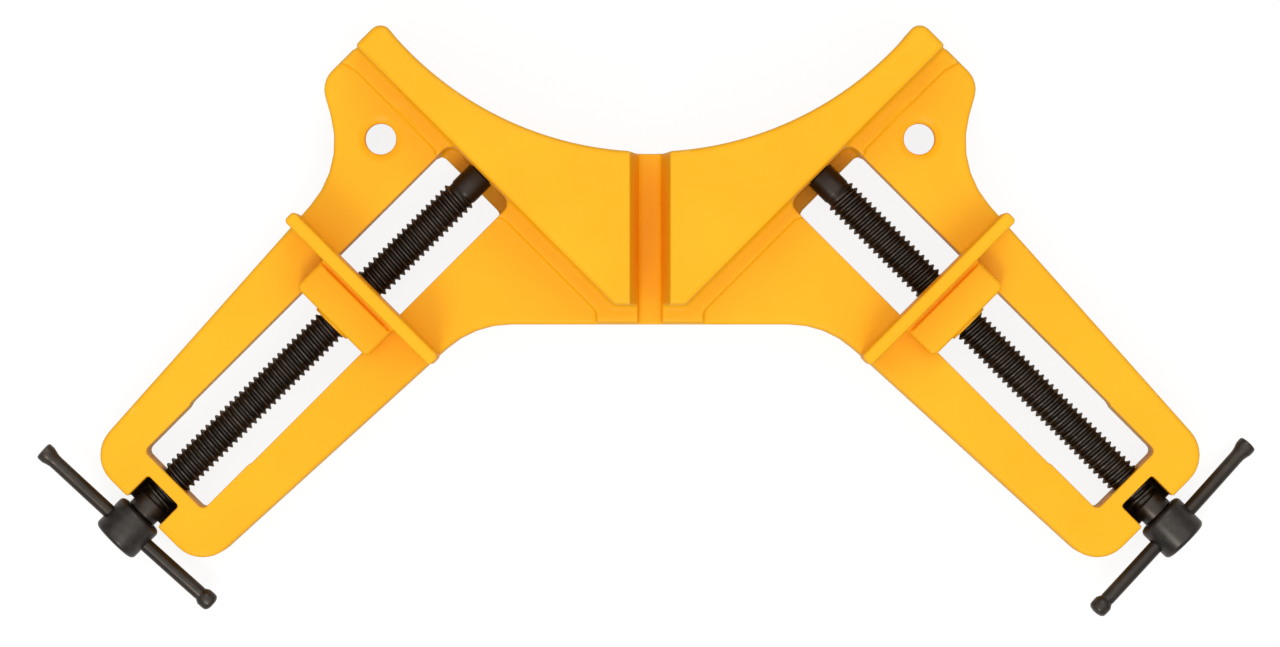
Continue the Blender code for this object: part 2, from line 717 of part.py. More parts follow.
def bar_place():
    """Lie a rod made along y across the collar, skewed in its loose hole and lifted at one end."""
    lift = Matrix.Rotation(-BAR_LIFT, 4, "Y")
    skew = Matrix.Rotation(-math.pi / 2 + BAR_SKEW, 4, "Z")
    return Matrix.Translation((0, COLLAR_MIDDLE, 0)) @ lift @ skew


def bar_bore():
    """Cutter for the collar's cross hole, square to the screw and lifted with the bar."""
    hole = rod(BAR_HOLE_R, -2 * COLLAR_R, 2 * COLLAR_R)
    lift = Matrix.Rotation(-BAR_LIFT, 4, "Y")
    square = Matrix.Rotation(-math.pi / 2, 4, "Z")
    hole.transform(Matrix.Translation((0, COLLAR_MIDDLE, 0)) @ lift @ square)
    return hole


def collar(side, arm, material):
    """Collar pressed on the spindle's stub, cross-drilled for the tommy bar."""
    start = COLLAR_START
    end = COLLAR_START + COLLAR_LENGTH
    bore = STUB_R + RUN
    profile = [(bore, start)]
    for step in range(COLLAR_STEPS + 1):
        turn = math.pi / 2 * step / COLLAR_STEPS
        profile.append((
            COLLAR_R - COLLAR_ROUND * (1 - math.sin(turn)),
            start + COLLAR_ROUND * (1 - math.cos(turn)),
        ))
    for step in range(COLLAR_STEPS + 1):
        turn = math.pi / 2 * step / COLLAR_STEPS
        profile.append((
            COLLAR_R - COLLAR_ROUND * (1 - math.cos(turn)),
            end - COLLAR_ROUND * (1 - math.sin(turn)),
        ))
    profile += [(bore, end), (bore, start)]
    item = turned(side + "_collar", profile, arm, material)
    cut(item, bar_bore(), arm, "bar_hole")


def tommy_bar(side, arm, material):
    """Sliding handle bar with an upset knob at each end."""
    half = BAR_LENGTH / 2
    knob = half - BAR_KNOB_LENGTH
    bead = BAR_KNOB_R - BAR_R
    upper = [
        (BAR_R, knob), (BAR_KNOB_R, knob + bead), (BAR_KNOB_R, half - bead),
        (BAR_R, half), (0, half),
    ]
    profile = [(radius, -y) for radius, y in reversed(upper)] + upper
    item = turned(side + "_tommy_bar", profile, arm, material, BAR_SIDES)
    item.matrix_local = bar_place() @ ALONG_Y


def thrust_washer(side, arm, material):
    """Flat washer on the journal, bearing on the inside of the fence wall."""
    front = -FENCE_WALL - GAP
    back = front - WASHER_THICK
    bore = JOURNAL_R + RUN
    profile = [(bore, back), (WASHER_R, back), (WASHER_R, front), (bore, front), (bore, back)]
    turned(side + "_thrust_washer", profile, arm, material)


def retaining_ring(side, arm, material):
    """Open spring ring in the journal's groove, its mouth down."""
    front = RING_FRONT - GAP
    back = RING_BACK + GAP
    bore = RING_SEAT_R + RUN
    profile = [(bore, back), (RING_R, back), (RING_R, front), (bore, front), (bore, back)]
    ring = turned(side + "_retaining_ring", profile, arm, material)
    reach = 2 * RING_R
    mouth = reach * math.tan(RING_MOUTH / 2)
    wedge = [(0, 0), (-mouth, -reach), (mouth, -reach)]
    across = Matrix.Rotation(math.pi / 2, 4, "X")
    cut(ring, prism(wedge, -front - GAP, -back + GAP, across), arm, "mouth")


def shade_round(item):
    item.data.shade_smooth()
    item.data.set_sharp_from_angle(angle=math.radians(35))


def build():
    yellow = paint("yellow_paint", (0.95, 0.46, 0.02), 0.0, 0.38)
    black = paint("black_oxide_steel", (0.030, 0.026, 0.022), 0.85, 0.42)
    zinc = paint("zinc_plated_steel", (0.62, 0.63, 0.64), 1.0, 0.35)

    arms = {}
    for side, sign in (("left", 1), ("right", -1)):
        arm = bpy.data.objects.new(side + "_arm", None)
        PARTS.objects.link(arm)
        spot = on_arm(0, 0)
        arm.location = (sign * spot.x, spot.y, SCREW_Z)
        arm.rotation_euler.z = sign * math.radians(135)
        arms[side] = arm
    bpy.context.view_layer.update()

    frame_casting(yellow, arms["left"])
    for side, arm in arms.items():
        sliding_jaw(side, arm, yellow)
        keeper_plate(side, arm, zinc)
        for end, place in ((-1, "inner"), (1, "outer")):
            keeper_screw(side, arm, zinc, end, place)
        lead_screw(side, arm, black)
        collar(side, arm, black)
        tommy_bar(side, arm, black)
        thrust_washer(side, arm, zinc)
        retaining_ring(side, arm, zinc)
    for item in PARTS.objects:
        if item.type == "MESH":
            shade_round(item)


ALONG_Y = Matrix.Rotation(-math.pi / 2, 4, "X")
clear_scene()
PARTS = new_collection("corner_clamp")
CUTTERS = new_collection("cutters")
build()
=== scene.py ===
"""Corner clamp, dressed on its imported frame: painted die casting, black steel screws and bars.

Metres, +Z up, bench plane z = 0. The clamp's corner points to -Y and the camera looks straight down
on it with +Y up in the picture. The sections follow the clamp as it is put together.
"""

import math

import bmesh
import bpy
from mathutils import Matrix, Vector


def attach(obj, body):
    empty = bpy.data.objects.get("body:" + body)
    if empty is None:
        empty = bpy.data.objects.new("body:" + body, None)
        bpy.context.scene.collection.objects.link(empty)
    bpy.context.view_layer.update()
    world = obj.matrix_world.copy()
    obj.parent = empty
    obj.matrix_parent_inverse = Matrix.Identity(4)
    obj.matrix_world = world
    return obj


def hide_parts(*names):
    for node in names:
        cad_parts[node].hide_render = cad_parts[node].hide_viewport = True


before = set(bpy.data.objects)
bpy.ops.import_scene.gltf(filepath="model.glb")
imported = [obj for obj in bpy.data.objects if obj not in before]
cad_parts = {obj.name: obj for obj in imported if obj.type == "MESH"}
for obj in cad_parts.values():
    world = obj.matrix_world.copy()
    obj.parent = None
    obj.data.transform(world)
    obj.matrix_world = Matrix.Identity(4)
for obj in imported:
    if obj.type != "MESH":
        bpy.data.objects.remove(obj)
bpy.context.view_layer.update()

# The picture: a long lens straight above the web, a pale table, a small soft box towards the
# corner, a weaker one behind and a pale room, brightest overhead, which the black steel mirrors.
VIEW_CENTRE = (-0.0025, -0.0211)
VIEW_HEIGHT = 1.500
VIEW_WIDTH = 0.3200
RAIL_TOP_Z = 0.0160
SENSOR = 36.0

camera_data = bpy.data.cameras.new("camera")
camera_data.sensor_width = SENSOR
camera_data.lens = SENSOR * (VIEW_HEIGHT - RAIL_TOP_Z) / VIEW_WIDTH
camera_data.clip_start = 0.01
camera = bpy.data.objects.new("camera", camera_data)
camera.location = (*VIEW_CENTRE, VIEW_HEIGHT)
bpy.context.scene.collection.objects.link(camera)
bpy.context.scene.camera = camera
bpy.context.scene.view_settings.view_transform = "Standard"


def soft_box(name, place, aim, width, watts):
    """A square area lamp at a place, turned to face a point."""
    lamp = bpy.data.lights.new(name, "AREA")
    lamp.shape = "SQUARE"
    lamp.size = width
    lamp.energy = watts
    item = bpy.data.objects.new(name, lamp)
    item.location = place
    item.rotation_euler = (Vector(aim) - Vector(place)).to_track_quat("-Z", "Y").to_euler()
    bpy.context.scene.collection.objects.link(item)


soft_box("soft_box_front", (-0.22, -0.95, 1.15), (0, 0, 0), 0.5, 6.0)
soft_box("soft_box_back", (0.30, 0.95, 1.20), (0, 0, 0), 0.7, 3.0)

world = bpy.data.worlds.new("pale room")
bpy.context.scene.world = world
world.use_nodes = True
room_nodes = world.node_tree.nodes
room_links = world.node_tree.links
room_way = room_nodes.new("ShaderNodeTexCoord")
room_height = room_nodes.new("ShaderNodeSeparateXYZ")
room_ramp = room_nodes.new("ShaderNodeValToRGB")
room_stops = room_ramp.color_ramp.elements
room_stops[0].color = (0.20, 0.20, 0.20, 1)
room_stops[1].color = (1.0, 0.995, 0.985, 1)
room_stops.new(0.50).color = (0.30, 0.30, 0.30, 1)
room_stops.new(0.80).color = (0.66, 0.66, 0.66, 1)
room_links.new(room_way.outputs["Generated"], room_height.inputs["Vector"])
room_links.new(room_height.outputs["Z"], room_ramp.inputs["Fac"])
room_links.new(room_ramp.outputs["Color"], room_nodes["Background"].inputs["Color"])
room_nodes["Background"].inputs["Strength"].default_value = 1.50

floor_mesh = bpy.data.meshes.new("floor")
floor_shape = bmesh.new()
bmesh.ops.create_grid(floor_shape, x_segments=2, y_segments=2, size=3.0)
floor_shape.to_mesh(floor_mesh)
floor_shape.free()
floor = bpy.data.objects.new("floor", floor_mesh)
floor.location.z = -0.0002
bpy.context.scene.collection.objects.link(floor)

table = bpy.data.materials.new("pale table")
table.use_nodes = True
table_nodes = table.node_tree.nodes
table_links = table.node_tree.links
table_bounce = table_nodes["Principled BSDF"]
table_bounce.inputs["Base Color"].default_value = (0.45, 0.45, 0.45, 1)
table_bounce.inputs["Roughness"].default_value = 0.9
table_bounce.inputs["Specular IOR Level"].default_value = 0.0
table_seen = table_nodes.new("ShaderNodeBsdfDiffuse")
table_seen.inputs["Color"].default_value = (0.16, 0.16, 0.16, 1)
table_white = table_nodes.new("ShaderNodeEmission")
table_white.inputs["Strength"].default_value = 0.87
table_pale = table_nodes.new("ShaderNodeAddShader")
table_ray = table_nodes.new("ShaderNodeLightPath")
table_share = table_nodes.new("ShaderNodeMath")
table_share.operation = "MULTIPLY_ADD"
table_share.inputs[1].default_value = 0.4
table_mix = table_nodes.new("ShaderNodeMixShader")
table_links.new(table_ray.outputs["Is Glossy Ray"], table_share.inputs[0])
table_links.new(table_ray.outputs["Is Camera Ray"], table_share.inputs[2])
table_links.new(table_seen.outputs["BSDF"], table_pale.inputs[0])
table_links.new(table_white.outputs["Emission"], table_pale.inputs[1])
table_links.new(table_share.outputs["Value"], table_mix.inputs["Fac"])
table_links.new(table_bounce.outputs["BSDF"], table_mix.inputs[1])
table_links.new(table_pale.outputs["Shader"], table_mix.inputs[2])
table_links.new(table_mix.outputs["Shader"], table_nodes["Material Output"].inputs["Surface"])
floor_mesh.materials.append(table)


# Frame casting: one zinc-alloy die casting with both fences, foot strips, ears and slotted arms.
# It is dipped in thick yellow enamel, which rounds every edge; painted shade turns it deeper orange in
# the corners.
# The underside is the same casting left hollow. Painted shade darkens the end pockets to near black,
# most towards their bottom.
CORNER_Y = -0.02535
SCREW_ALONG_FENCE = 0.0595
POCKET_MIDDLE = 0.1164
SHADE_ALONG_FENCE = (0.0053, 0.0058)
SHADE_OFF_FENCE = (0.0036, 0.0043)
SHADE_HEIGHT = (0.0112, 0.0157)
MERGE = 0.000002
FRAME_GRAIN = 0.00040
FRAME_FACES = 188000
FRAME_LEVELLING = 5


def node_maker(tree):
    """Short forms for adding nodes to a tree and joining them."""
    def add(kind, **settings):
        node = tree.nodes.new(kind)
        for name, value in settings.items():
            setattr(node, name, value)
        return node

    def join(source, output, target, field):
        tree.links.new(source.outputs[output], target.inputs[field])

    return add, join


def pocket_shade_mask(add, join, place):
    """Mask of painted shade in both end pockets, each limit given as a depth of full shade and one of
    none.
    """
    parts = add("ShaderNodeSeparateXYZ")
    join(place, "Object", parts, "Vector")
    beside = add("ShaderNodeMath", operation="ABSOLUTE")
    join(parts, "X", beside, 0)
    folded = add("ShaderNodeCombineXYZ")
    join(beside, "Value", folded, "X")
    join(parts, "Y", folded, "Y")
    join(parts, "Z", folded, "Z")
    slant = math.sqrt(0.5)
    masks = []
    for way, centre, (full_shade, no_shade) in (
        ((slant, slant, 0), SCREW_ALONG_FENCE + slant * CORNER_Y, SHADE_ALONG_FENCE),
        ((slant, -slant, 0), POCKET_MIDDLE - slant * CORNER_Y, SHADE_OFF_FENCE),
        ((0, 0, 1), 0.0, SHADE_HEIGHT),
    ):
        dot = add("ShaderNodeVectorMath", operation="DOT_PRODUCT")
        dot.inputs[1].default_value = way
        join(folded, "Vector", dot, 0)
        offset = add("ShaderNodeMath", operation="SUBTRACT")
        offset.inputs[1].default_value = centre
        join(dot, "Value", offset, 0)
        off_centre = add("ShaderNodeMath", operation="ABSOLUTE")
        join(offset, "Value", off_centre, 0)
        limit = add("ShaderNodeMapRange", interpolation_type="SMOOTHSTEP")
        limit.inputs["From Min"].default_value = no_shade
        limit.inputs["From Max"].default_value = full_shade
        join(off_centre, "Value", limit, "Value")
        masks.append(limit)
    oily = masks[0]
    for mask in masks[1:]:
        meet = add("ShaderNodeMath", operation="MULTIPLY")
        join(oily, 0, meet, 0)
        join(mask, "Result", meet, 1)
        oily = meet
    return oily


def enamel_skin(add, join, place):
    """Bump of thick enamel: a slow wave with a fine orange peel on it."""
    peel = add("ShaderNodeTexNoise")
    peel.inputs["Scale"].default_value = 900.0
    peel.inputs["Detail"].default_value = 2.0
    join(place, "Object", peel, "Vector")
    wave = add("ShaderNodeTexNoise")
    wave.inputs["Scale"].default_value = 110.0
    wave.inputs["Detail"].default_value = 1.0
    join(place, "Object", wave, "Vector")
    wave_bump = add("ShaderNodeBump")
    wave_bump.inputs["Strength"].default_value = 0.35
    wave_bump.inputs["Distance"].default_value = 0.00025
    join(wave, "Fac", wave_bump, "Height")
    peel_bump = add("ShaderNodeBump")
    peel_bump.inputs["Strength"].default_value = 0.25
    peel_bump.inputs["Distance"].default_value = 0.00004
    join(peel, "Fac", peel_bump, "Height")
    join(wave_bump, "Normal", peel_bump, "Normal")
    return peel_bump


def yellow_enamel():
    """Glossy yellow enamel, fine orange peel; orange painted shade in corners, pale painted highlight on
    edges.
    """
    material = bpy.data.materials.new("yellow enamel")
    material.use_nodes = True
    shader = material.node_tree.nodes["Principled BSDF"]
    add, join = node_maker(material.node_tree)
    place = add("ShaderNodeTexCoord")

    cloud = add("ShaderNodeTexNoise")
    cloud.inputs["Scale"].default_value = 38.0
    cloud.inputs["Detail"].default_value = 3.0
    join(place, "Object", cloud, "Vector")
    tint = add("ShaderNodeValToRGB")
    tint.color_ramp.elements[0].position = 0.30
    tint.color_ramp.elements[0].color = (0.955, 0.442, 0.007, 1)
    tint.color_ramp.elements[1].position = 0.72
    tint.color_ramp.elements[1].color = (0.985, 0.482, 0.011, 1)
    join(cloud, "Fac", tint, "Fac")

    # Painted shade: corners and creases found by ambient occlusion are mixed towards a deeper orange.
    nook = add("ShaderNodeAmbientOcclusion", samples=8, only_local=True)
    nook.inputs["Distance"].default_value = 0.0018
    nook_ramp = add("ShaderNodeMapRange", interpolation_type="SMOOTHSTEP")
    nook_ramp.inputs["From Min"].default_value = 0.35
    nook_ramp.inputs["From Max"].default_value = 0.82
    nook_ramp.inputs["To Min"].default_value = 1.0
    nook_ramp.inputs["To Max"].default_value = 0.0
    join(nook, "AO", nook_ramp, "Value")
    painted_corner_shade = add("ShaderNodeMix", data_type="RGBA")
    painted_corner_shade.inputs["B"].default_value = (0.92, 0.290, 0.006, 1)
    join(nook_ramp, "Result", painted_corner_shade, "Factor")
    join(tint, "Color", painted_corner_shade, "A")

    # Painted highlight: sharp rounded edges found by pointiness are mixed towards a paler yellow.
    shape = add("ShaderNodeNewGeometry")
    edge = add("ShaderNodeMapRange", interpolation_type="SMOOTHSTEP")
    edge.inputs["From Min"].default_value = 0.51
    edge.inputs["From Max"].default_value = 0.58
    edge.inputs["To Min"].default_value = 0.0
    edge.inputs["To Max"].default_value = 0.50
    join(shape, "Pointiness", edge, "Value")
    thin = add("ShaderNodeMix", data_type="RGBA")
    thin.inputs["B"].default_value = (1.0, 0.56, 0.07, 1)
    join(edge, "Result", thin, "Factor")
    join(painted_corner_shade, "Result", thin, "A")

    # Painted shade: the end pockets are mixed towards near black, fully low down and fading out higher
    # up.
    oily = pocket_shade_mask(add, join, place)
    painted_pocket_shade = add("ShaderNodeMix", data_type="RGBA")
    painted_pocket_shade.inputs["B"].default_value = (0.042, 0.016, 0.007, 1)
    join(oily, "Value", painted_pocket_shade, "Factor")
    join(thin, "Result", painted_pocket_shade, "A")
    join(painted_pocket_shade, "Result", shader, "Base Color")

    smear = add("ShaderNodeTexNoise")
    smear.inputs["Scale"].default_value = 210.0
    smear.inputs["Detail"].default_value = 4.0
    join(place, "Object", smear, "Vector")
    gloss = add("ShaderNodeMapRange")
    gloss.inputs["To Min"].default_value = 0.36
    gloss.inputs["To Max"].default_value = 0.52
    join(smear, "Fac", gloss, "Value")
    join(gloss, "Result", shader, "Roughness")

    peel_bump = enamel_skin(add, join, place)
    join(peel_bump, "Normal", shader, "Normal")
    shader.inputs["Specular IOR Level"].default_value = 0.15
    shader.inputs["Coat Weight"].default_value = 0.05
    shader.inputs["Coat Roughness"].default_value = 0.15
    return material


def painted_casting(node_name, piece_name, material, grain, levelling, face_count, cutter=None):
    """Skin a copy of a casting's solid in fine voxels and level it, as thick enamel does.

    A cutter, where one is given, is taken out of the copy first.
    """
    shape = bmesh.new()
    shape.from_mesh(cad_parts[node_name].data)
    bmesh.ops.remove_doubles(shape, verts=shape.verts, dist=MERGE)
    mesh = bpy.data.meshes.new(piece_name)
    shape.to_mesh(mesh)
    shape.free()
    raw = bpy.data.objects.new(piece_name + " raw", mesh)
    bpy.context.scene.collection.objects.link(raw)
    if cutter:
        cove = raw.modifiers.new("cast cove", "BOOLEAN")
        cove.object = cutter
        cove.operation = "DIFFERENCE"
        cove.solver = "EXACT"
    skin = raw.modifiers.new("enamel skin", "REMESH")
    skin.mode = "VOXEL"
    skin.voxel_size = grain
    level = raw.modifiers.new("levelled enamel", "SMOOTH")
    level.factor = 0.5
    level.iterations = levelling
    thin = raw.modifiers.new("fewer flat faces", "DECIMATE")
    bpy.context.view_layer.update()
    thin.show_viewport = False
    graph = bpy.context.evaluated_depsgraph_get()
    quads = len(raw.evaluated_get(graph).data.polygons)
    thin.show_viewport = True
    thin.ratio = min(1.0, face_count / (2 * quads))
    graph = bpy.context.evaluated_depsgraph_get()
    finished = bpy.data.meshes.new_from_object(raw.evaluated_get(graph))
    bpy.data.objects.remove(raw, do_unlink=True)
    finished.name = piece_name
    finished.materials.clear()
    finished.materials.append(material)
    finished.shade_smooth()
    piece = bpy.data.objects.new(piece_name, finished)
    bpy.context.scene.collection.objects.link(piece)
    return piece


enamel = yellow_enamel()
casting = painted_casting(
    "frame_casting", "painted_frame", enamel, FRAME_GRAIN, FRAME_LEVELLING, FRAME_FACES
)

# The tall ends of the fences lean in a little by their draft, from just above the rails up.
LEAN_FROM_Z = 0.0165
RAIL_TO_TOP = 0.0195
END_LEAN = 0.0006
LEAN_FROM = 0.0960
LEAN_TO = 0.1025

for vertex in casting.data.vertices:
    fence_way = Vector((math.copysign(1, vertex.co.x), 1, 0)).normalized()
    along = (vertex.co - Vector((0, CORNER_Y, 0))).dot(fence_way)
    risen = vertex.co.z - LEAN_FROM_Z
    if along > LEAN_FROM and risen > 0:
        share = min(1, (along - LEAN_FROM) / (LEAN_TO - LEAN_FROM))
        vertex.co -= fence_way * END_LEAN * share * risen / RAIL_TO_TOP

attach(casting, "frame")
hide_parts("frame_casting")


# Sliding jaws: a die casting each, the tall plate that meets the work and a block that rides the
# rails, with the threaded tongue down in the slot. A shallow cove parts the block's top from the
# plate. They are painted like the frame.
SCREW_Z = 0.0090
JAW_GRAIN = 0.00028
JAW_FACES = 70000
JAW_LEVELLING = 6
PLATE_BACK = 0.0430
BLOCK_HALF = 0.0124
BLOCK_TOP_Z = 0.0222
COVE_R = 0.00075
COVE_STEPS = 32


def arm_matrix(side):
    """Places a shape made along +Y from the fence face, on the arm's screw axis."""
    sign = 1 if side == "left" else -1
    reach = SCREW_ALONG_FENCE * math.sqrt(0.5)
    spot = Matrix.Translation((-sign * reach, CORNER_Y + reach, SCREW_Z))
    return spot @ Matrix.Rotation(sign * math.radians(135), 4, "Z")


def cove_cutter(side):
    """A round bar that lies in the corner of plate and block, its middle level with the block's top."""
    shape = bmesh.new()
    bmesh.ops.create_cone(
        shape, cap_ends=True, segments=COVE_STEPS, radius1=COVE_R, radius2=COVE_R, depth=3 * BLOCK_HALF
    )
    spot = Matrix.Translation((0, PLATE_BACK + COVE_R, BLOCK_TOP_Z - SCREW_Z))
    lying = arm_matrix(side) @ spot @ Matrix.Rotation(math.pi / 2, 4, "Y")
    bmesh.ops.transform(shape, matrix=lying, verts=shape.verts)
    mesh = bpy.data.meshes.new("cove cutter")
    shape.to_mesh(mesh)
    shape.free()
    cutter = bpy.data.objects.new("cove cutter", mesh)
    bpy.context.scene.collection.objects.link(cutter)
    return cutter


for side in ("left", "right"):
    cutter = cove_cutter(side)
    jaw = painted_casting(
        side + "_sliding_jaw", side + "_painted_jaw", enamel, JAW_GRAIN, JAW_LEVELLING, JAW_FACES, cutter
    )
    bpy.data.objects.remove(cutter, do_unlink=True)
    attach(jaw, side + "_jaw")
    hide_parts(side + "_sliding_jaw")


# Lead screws: turned steel spindles with a left-hand thread rolled on, a plain nose at the fence,
# a plain neck at the outer end and a stub that the collar is pressed on. The steel is blackened,
# brown in the thread's root and rubbed to grey on its crests.
FENCE_WALL = 0.0038
THREAD_R = 0.0044
THREAD_ROOT_R = 0.00355
THREAD_SUNK = 0.00012
THREAD_PITCH = 0.00170
THREAD_START = 0.0072
THREAD_STOP = 0.1162
THREAD_FADE = 0.0009
THREAD_ROOT_HALF = 0.00076
THREAD_CREST_HALF = 0.00016
THREAD_TURN_STEPS = 40
ROUND_STEPS = 72


def black_steel(name, side, dark, brown, bare, wear_from, wear_to):
    """Blackened oily steel, dark to brown in patches, worn to a bare tone between two radii."""
    material = bpy.data.materials.new(name)
    material.use_nodes = True
    shader = material.node_tree.nodes["Principled BSDF"]
    add, join = node_maker(material.node_tree)
    place = add("ShaderNodeTexCoord")
    home = arm_matrix(side).inverted()
    on_axis = add("ShaderNodeMapping")
    on_axis.inputs["Rotation"].default_value = home.to_euler()
    on_axis.inputs["Location"].default_value = home.to_translation()
    join(place, "Object", on_axis, "Vector")
    flat = add("ShaderNodeVectorMath", operation="MULTIPLY")
    flat.inputs[1].default_value = (1, 0, 1)
    join(on_axis, "Vector", flat, 0)
    radius = add("ShaderNodeVectorMath", operation="LENGTH")
    join(flat, "Vector", radius, 0)

    blotch = add("ShaderNodeTexNoise")
    blotch.inputs["Scale"].default_value = 150.0
    blotch.inputs["Detail"].default_value = 3.0
    blotch.inputs["Roughness"].default_value = 0.5
    join(place, "Object", blotch, "Vector")
    base = add("ShaderNodeValToRGB")
    base.color_ramp.elements[0].position = 0.36
    base.color_ramp.elements[0].color = dark
    base.color_ramp.elements[1].position = 0.68
    base.color_ramp.elements[1].color = brown
    join(blotch, "Fac", base, "Fac")

    rubbed = add("ShaderNodeMapRange", interpolation_type="SMOOTHSTEP")
    rubbed.inputs["From Min"].default_value = wear_from
    rubbed.inputs["From Max"].default_value = wear_to
    join(radius, "Value", rubbed, "Value")
    patch = add("ShaderNodeTexNoise")
    patch.inputs["Scale"].default_value = 620.0
    patch.inputs["Detail"].default_value = 3.0
    join(place, "Object", patch, "Vector")
    patch_range = add("ShaderNodeMapRange")
    patch_range.inputs["From Min"].default_value = 0.35
    patch_range.inputs["From Max"].default_value = 0.70
    join(patch, "Fac", patch_range, "Value")
    worn = add("ShaderNodeMath", operation="MULTIPLY")
    join(rubbed, "Result", worn, 0)
    join(patch_range, "Result", worn, 1)
    colour = add("ShaderNodeMix", data_type="RGBA")
    colour.inputs["B"].default_value = bare
    join(worn, "Value", colour, "Factor")
    join(base, "Color", colour, "A")
    join(colour, "Result", shader, "Base Color")

    gloss = add("ShaderNodeMapRange")
    gloss.inputs["To Min"].default_value = 0.27
    gloss.inputs["To Max"].default_value = 0.37
    join(patch, "Fac", gloss, "Value")
    join(gloss, "Result", shader, "Roughness")
    grain = add("ShaderNodeTexNoise")
    grain.inputs["Scale"].default_value = 2600.0
    grain.inputs["Detail"].default_value = 3.0
    join(place, "Object", grain, "Vector")
    grain_bump = add("ShaderNodeBump")
    grain_bump.inputs["Strength"].default_value = 0.20
    grain_bump.inputs["Distance"].default_value = 0.00003
    join(grain, "Fac", grain_bump, "Height")
    join(grain_bump, "Normal", shader, "Normal")
    shader.inputs["Metallic"].default_value = 0.30
    shader.inputs["Specular IOR Level"].default_value = 0.60
    shader.inputs["Specular Tint"].default_value = (1.0, 0.88, 0.78, 1)
    return material


def turned_mesh(name, profile, steps=ROUND_STEPS):
    """Revolve (radius, y) pairs round the y axis into a closed mesh."""
    shape = bmesh.new()
    rings = []
    for radius, y in profile:
        if radius == 0:
            rings.append([shape.verts.new((0, y, 0))])
            continue
        ring = []
        for step in range(steps):
            turn = 2 * math.pi * step / steps
            ring.append(shape.verts.new((radius * math.cos(turn), y, radius * math.sin(turn))))
        rings.append(ring)
    for low, high in zip(rings, rings[1:]):
        for step in range(steps):
            after = (step + 1) % steps
            corners = [low[step % len(low)], high[step % len(high)]]
            if len(high) > 1:
                corners.append(high[after])
            if len(low) > 1:
                corners.append(low[after])
            shape.faces.new(corners)
    bmesh.ops.recalc_face_normals(shape, faces=shape.faces)
    mesh = bpy.data.meshes.new(name)
    shape.to_mesh(mesh)
    shape.free()
    return mesh


def eased(points, radius, steps=3):
    """Round the inner corners of a (radius, y) profile."""
    result = [points[0]]
    for before, here, after in zip(points, points[1:], points[2:]):
        here_v = Vector(here)
        back = Vector(before) - here_v
        ahead = Vector(after) - here_v
        reach = min(radius, back.length * 0.45, ahead.length * 0.45)
        first = here_v + back.normalized() * reach
        last = here_v + ahead.normalized() * reach
        for step in range(steps + 1):
            t = step / steps
            spot = first * (1 - t) ** 2 + here_v * 2 * t * (1 - t) + last * t ** 2
            result.append((spot.x, spot.y))
    result.append(points[-1])
    return result


def thread_tree():
    """Geometry Nodes: a left-hand V ridge swept along a helix, fading out at both ends."""
    tree = bpy.data.node_groups.new("rolled thread", "GeometryNodeTree")
    face = tree.interface
    face.new_socket("Geometry", in_out="INPUT", socket_type="NodeSocketGeometry")
    face.new_socket("Geometry", in_out="OUTPUT", socket_type="NodeSocketGeometry")
    sizes = (
        ("Turns", 60.0), ("Length", 0.1), ("Pitch Radius", 0.0035), ("Root Half", 0.0007),
        ("Crest Half", 0.0001), ("Depth", 0.0009), ("Fade", 0.01),
    )
    for label, value in sizes:
        socket = face.new_socket(label, in_out="INPUT", socket_type="NodeSocketFloat")
        socket.default_value = value
    steps = face.new_socket("Steps", in_out="INPUT", socket_type="NodeSocketInt")
    steps.default_value = THREAD_TURN_STEPS
    face.new_socket("Material", in_out="INPUT", socket_type="NodeSocketMaterial")
    add, join = node_maker(tree)
    given = add("NodeGroupInput")
    result = add("NodeGroupOutput")

    helix = add("GeometryNodeCurveSpiral")
    join(given, "Steps", helix, "Resolution")
    join(given, "Turns", helix, "Rotations")
    join(given, "Pitch Radius", helix, "Start Radius")
    join(given, "Pitch Radius", helix, "End Radius")
    join(given, "Length", helix, "Height")
    upright = add("GeometryNodeSetCurveNormal", mode="Z_UP")
    join(helix, "Curve", upright, "Curve")

    along = add("GeometryNodeSplineParameter")
    other_end = add("ShaderNodeMath", operation="SUBTRACT")
    other_end.inputs[0].default_value = 1.0
    join(along, "Factor", other_end, 1)
    nearer = add("ShaderNodeMath", operation="MINIMUM")
    join(along, "Factor", nearer, 0)
    join(other_end, "Value", nearer, 1)
    swell = add("ShaderNodeMapRange", interpolation_type="SMOOTHSTEP")
    swell.inputs["To Min"].default_value = 0.02
    join(nearer, "Value", swell, "Value")
    join(given, "Fade", swell, "From Max")

    outward = add("ShaderNodeMath", operation="MULTIPLY")
    outward.inputs[1].default_value = -1.0
    join(given, "Depth", outward, 0)
    corners = add("GeometryNodeCurvePrimitiveQuadrilateral", mode="POINTS")
    for field, half, deep, sign in (
        ("Point 1", "Root Half", False, -1), ("Point 2", "Crest Half", True, -1),
        ("Point 3", "Crest Half", True, 1), ("Point 4", "Root Half", False, 1),
    ):
        across = add("ShaderNodeMath", operation="MULTIPLY")
        across.inputs[1].default_value = sign
        join(given, half, across, 0)
        corner = add("ShaderNodeCombineXYZ")
        join(across, "Value", corner, "Y")
        if deep:
            join(outward, "Value", corner, "X")
        join(corner, "Vector", corners, field)
    ridge = add("GeometryNodeCurveToMesh")
    ridge.inputs["Fill Caps"].default_value = True
    join(upright, "Curve", ridge, "Curve")
    join(corners, "Curve", ridge, "Profile Curve")
    join(swell, "Result", ridge, "Scale")
    whole = add("GeometryNodeRealizeInstances")
    join(ridge, "Mesh", whole, "Geometry")
    coloured = add("GeometryNodeSetMaterial")
    join(whole, "Geometry", coloured, "Geometry")
    join(given, "Material", coloured, "Material")
    join(coloured, "Geometry", result, "Geometry")
    return tree


